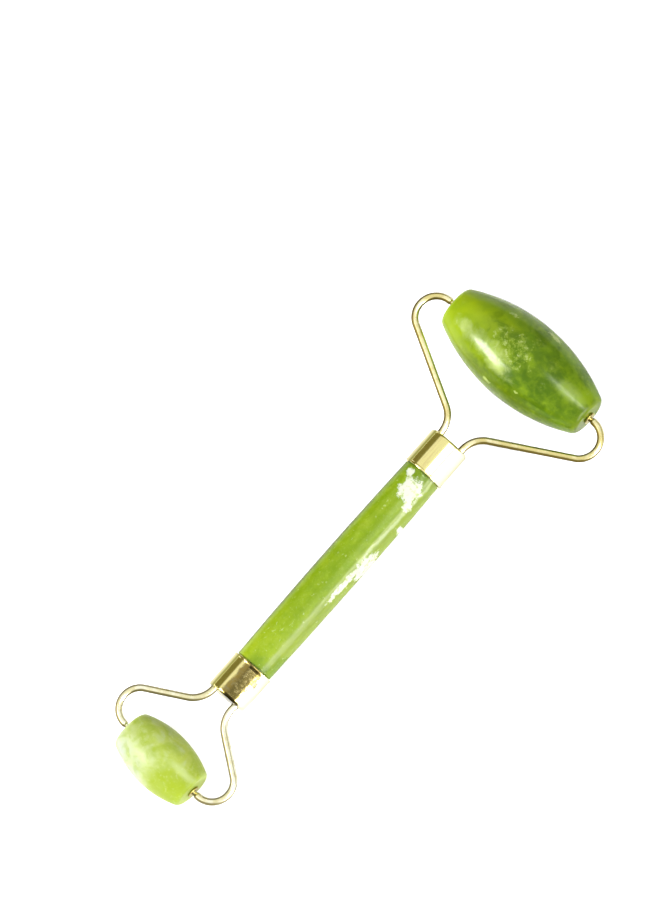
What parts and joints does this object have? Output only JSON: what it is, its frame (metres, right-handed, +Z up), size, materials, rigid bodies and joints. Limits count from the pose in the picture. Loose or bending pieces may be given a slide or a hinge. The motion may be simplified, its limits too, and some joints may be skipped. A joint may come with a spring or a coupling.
{
  "type": "face roller",
  "caption": "Double-ended face roller: a polished jade handle with gold-plated ferrules and wire yokes that carry a large and a small barrel-shaped jade roller.",
  "frame": {"origin": "on the surface the roller lies on, under the centre of its bounding box", "axes": "+Y runs along the handle towards the large roller, +X along the large roller's axle, +Z up from the surface"},
  "size_m": [0.0572, 0.1446, 0.0206],
  "materials": {
    "handle_jade": "polished yellow-green jade with milky veins and white calcite patches",
    "deep_jade": "polished translucent olive-green jade with darker clouds and fine pale flecks",
    "pale_jade": "polished translucent pale yellow-green jade with milky clouds",
    "gold_plate": "bright polished pale gold plating",
    "bush_brass": "smooth turned brass",
    "adhesive": "cast cream-coloured epoxy"
  },
  "bodies": {
    "frame": {"handle": "handle_jade", "large_ferrule": "gold_plate", "small_ferrule": "gold_plate", "large_adhesive_plug": "adhesive", "small_adhesive_plug": "adhesive", "large_yoke": "gold_plate", "small_yoke": "gold_plate"},
    "large_roller": {"large_roller": "deep_jade", "large_left_bush": "bush_brass", "large_right_bush": "bush_brass"},
    "small_roller": {"small_roller": "pale_jade", "small_left_bush": "bush_brass", "small_right_bush": "bush_brass"}
  },
  "joints": [
    {"name": "large_roller_spin", "type": "hinge", "parent": "frame", "child": "large_roller", "pos_m": [0, 0.06203, 0.0103], "axis": [1, 0, 0], "continuous": true},
    {"name": "small_roller_spin", "type": "hinge", "parent": "frame", "child": "small_roller", "pos_m": [-0.00189, -0.06488, 0.0074], "axis": [0.9973, -0.0732, -0.0017], "continuous": true}
  ]
}
